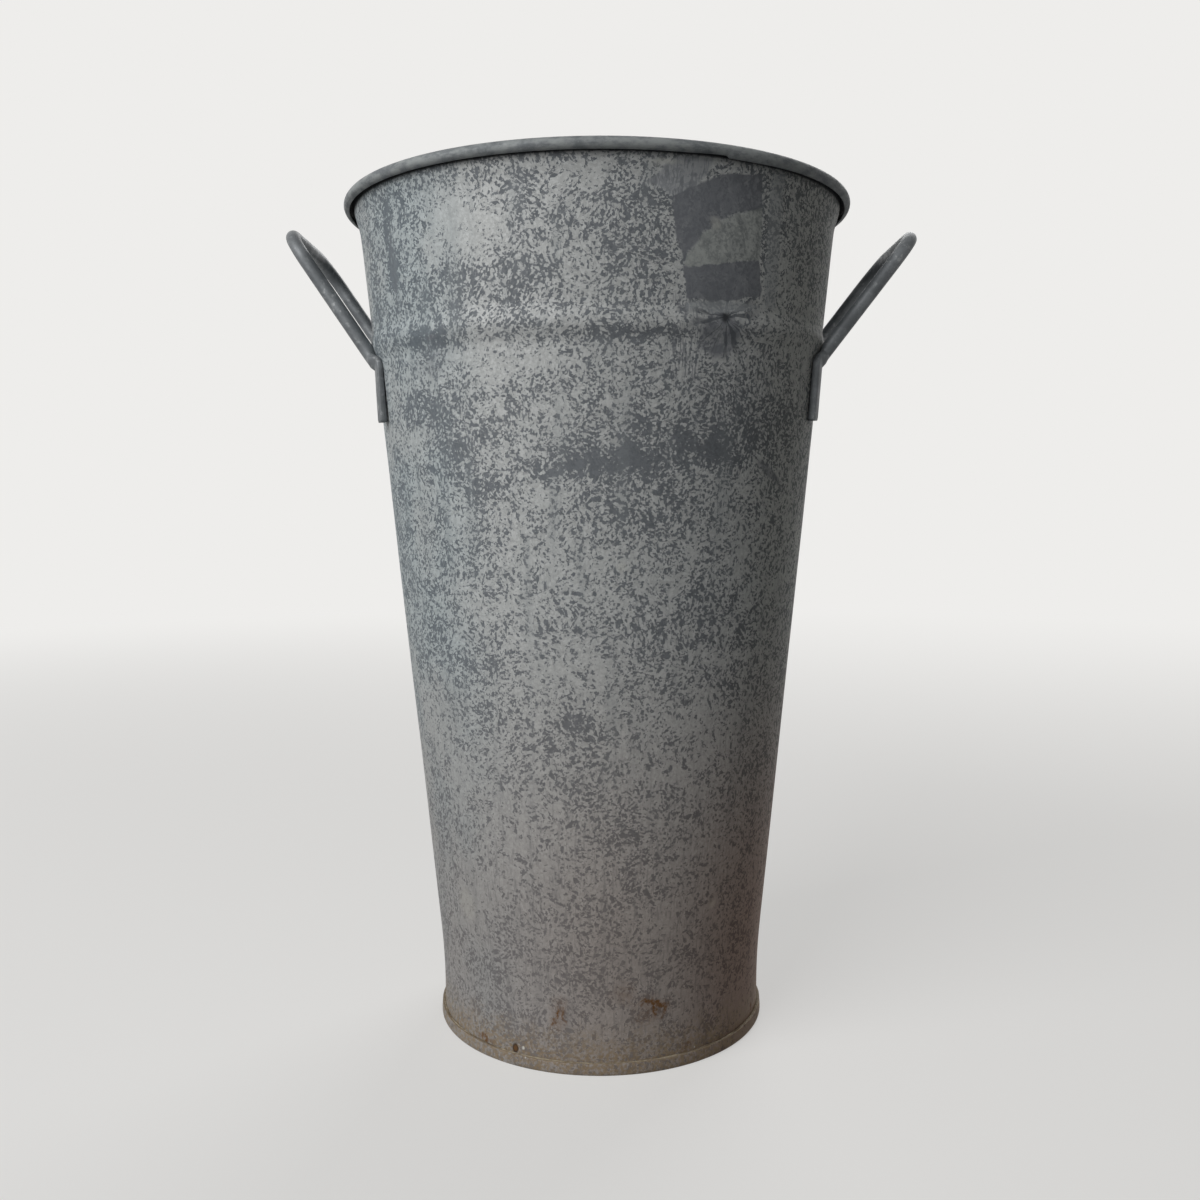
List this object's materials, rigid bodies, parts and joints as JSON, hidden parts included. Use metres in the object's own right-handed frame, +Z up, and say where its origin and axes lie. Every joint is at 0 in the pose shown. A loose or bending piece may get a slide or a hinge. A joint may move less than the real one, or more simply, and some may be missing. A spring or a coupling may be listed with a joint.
{
  "type": "flower bucket",
  "caption": "Tall tapered galvanised sheet-metal bucket with a rolled rim, a raised ring below it, a hemmed foot and a fixed rod loop handle on each side.",
  "frame": {"origin": "centre of the circle the foot stands on, at the standing face", "axes": "+Z up along the bucket's axis, +X out through the right handle, -Y towards a person looking at the bucket with a handle at each side"},
  "size_m": [0.2812, 0.2298, 0.377],
  "materials": {
    "galvanised_sheet": "weathered hot-dip galvanised sheet, dull mottled grey with a little rust at the foot",
    "galvanised_rod": "weathered galvanised rod, dull dark grey"
  },
  "bodies": {
    "root": {"wall": "galvanised_sheet", "floor_pan": "galvanised_sheet", "left_handle": "galvanised_rod", "right_handle": "galvanised_rod"}
  },
  "joints": []
}
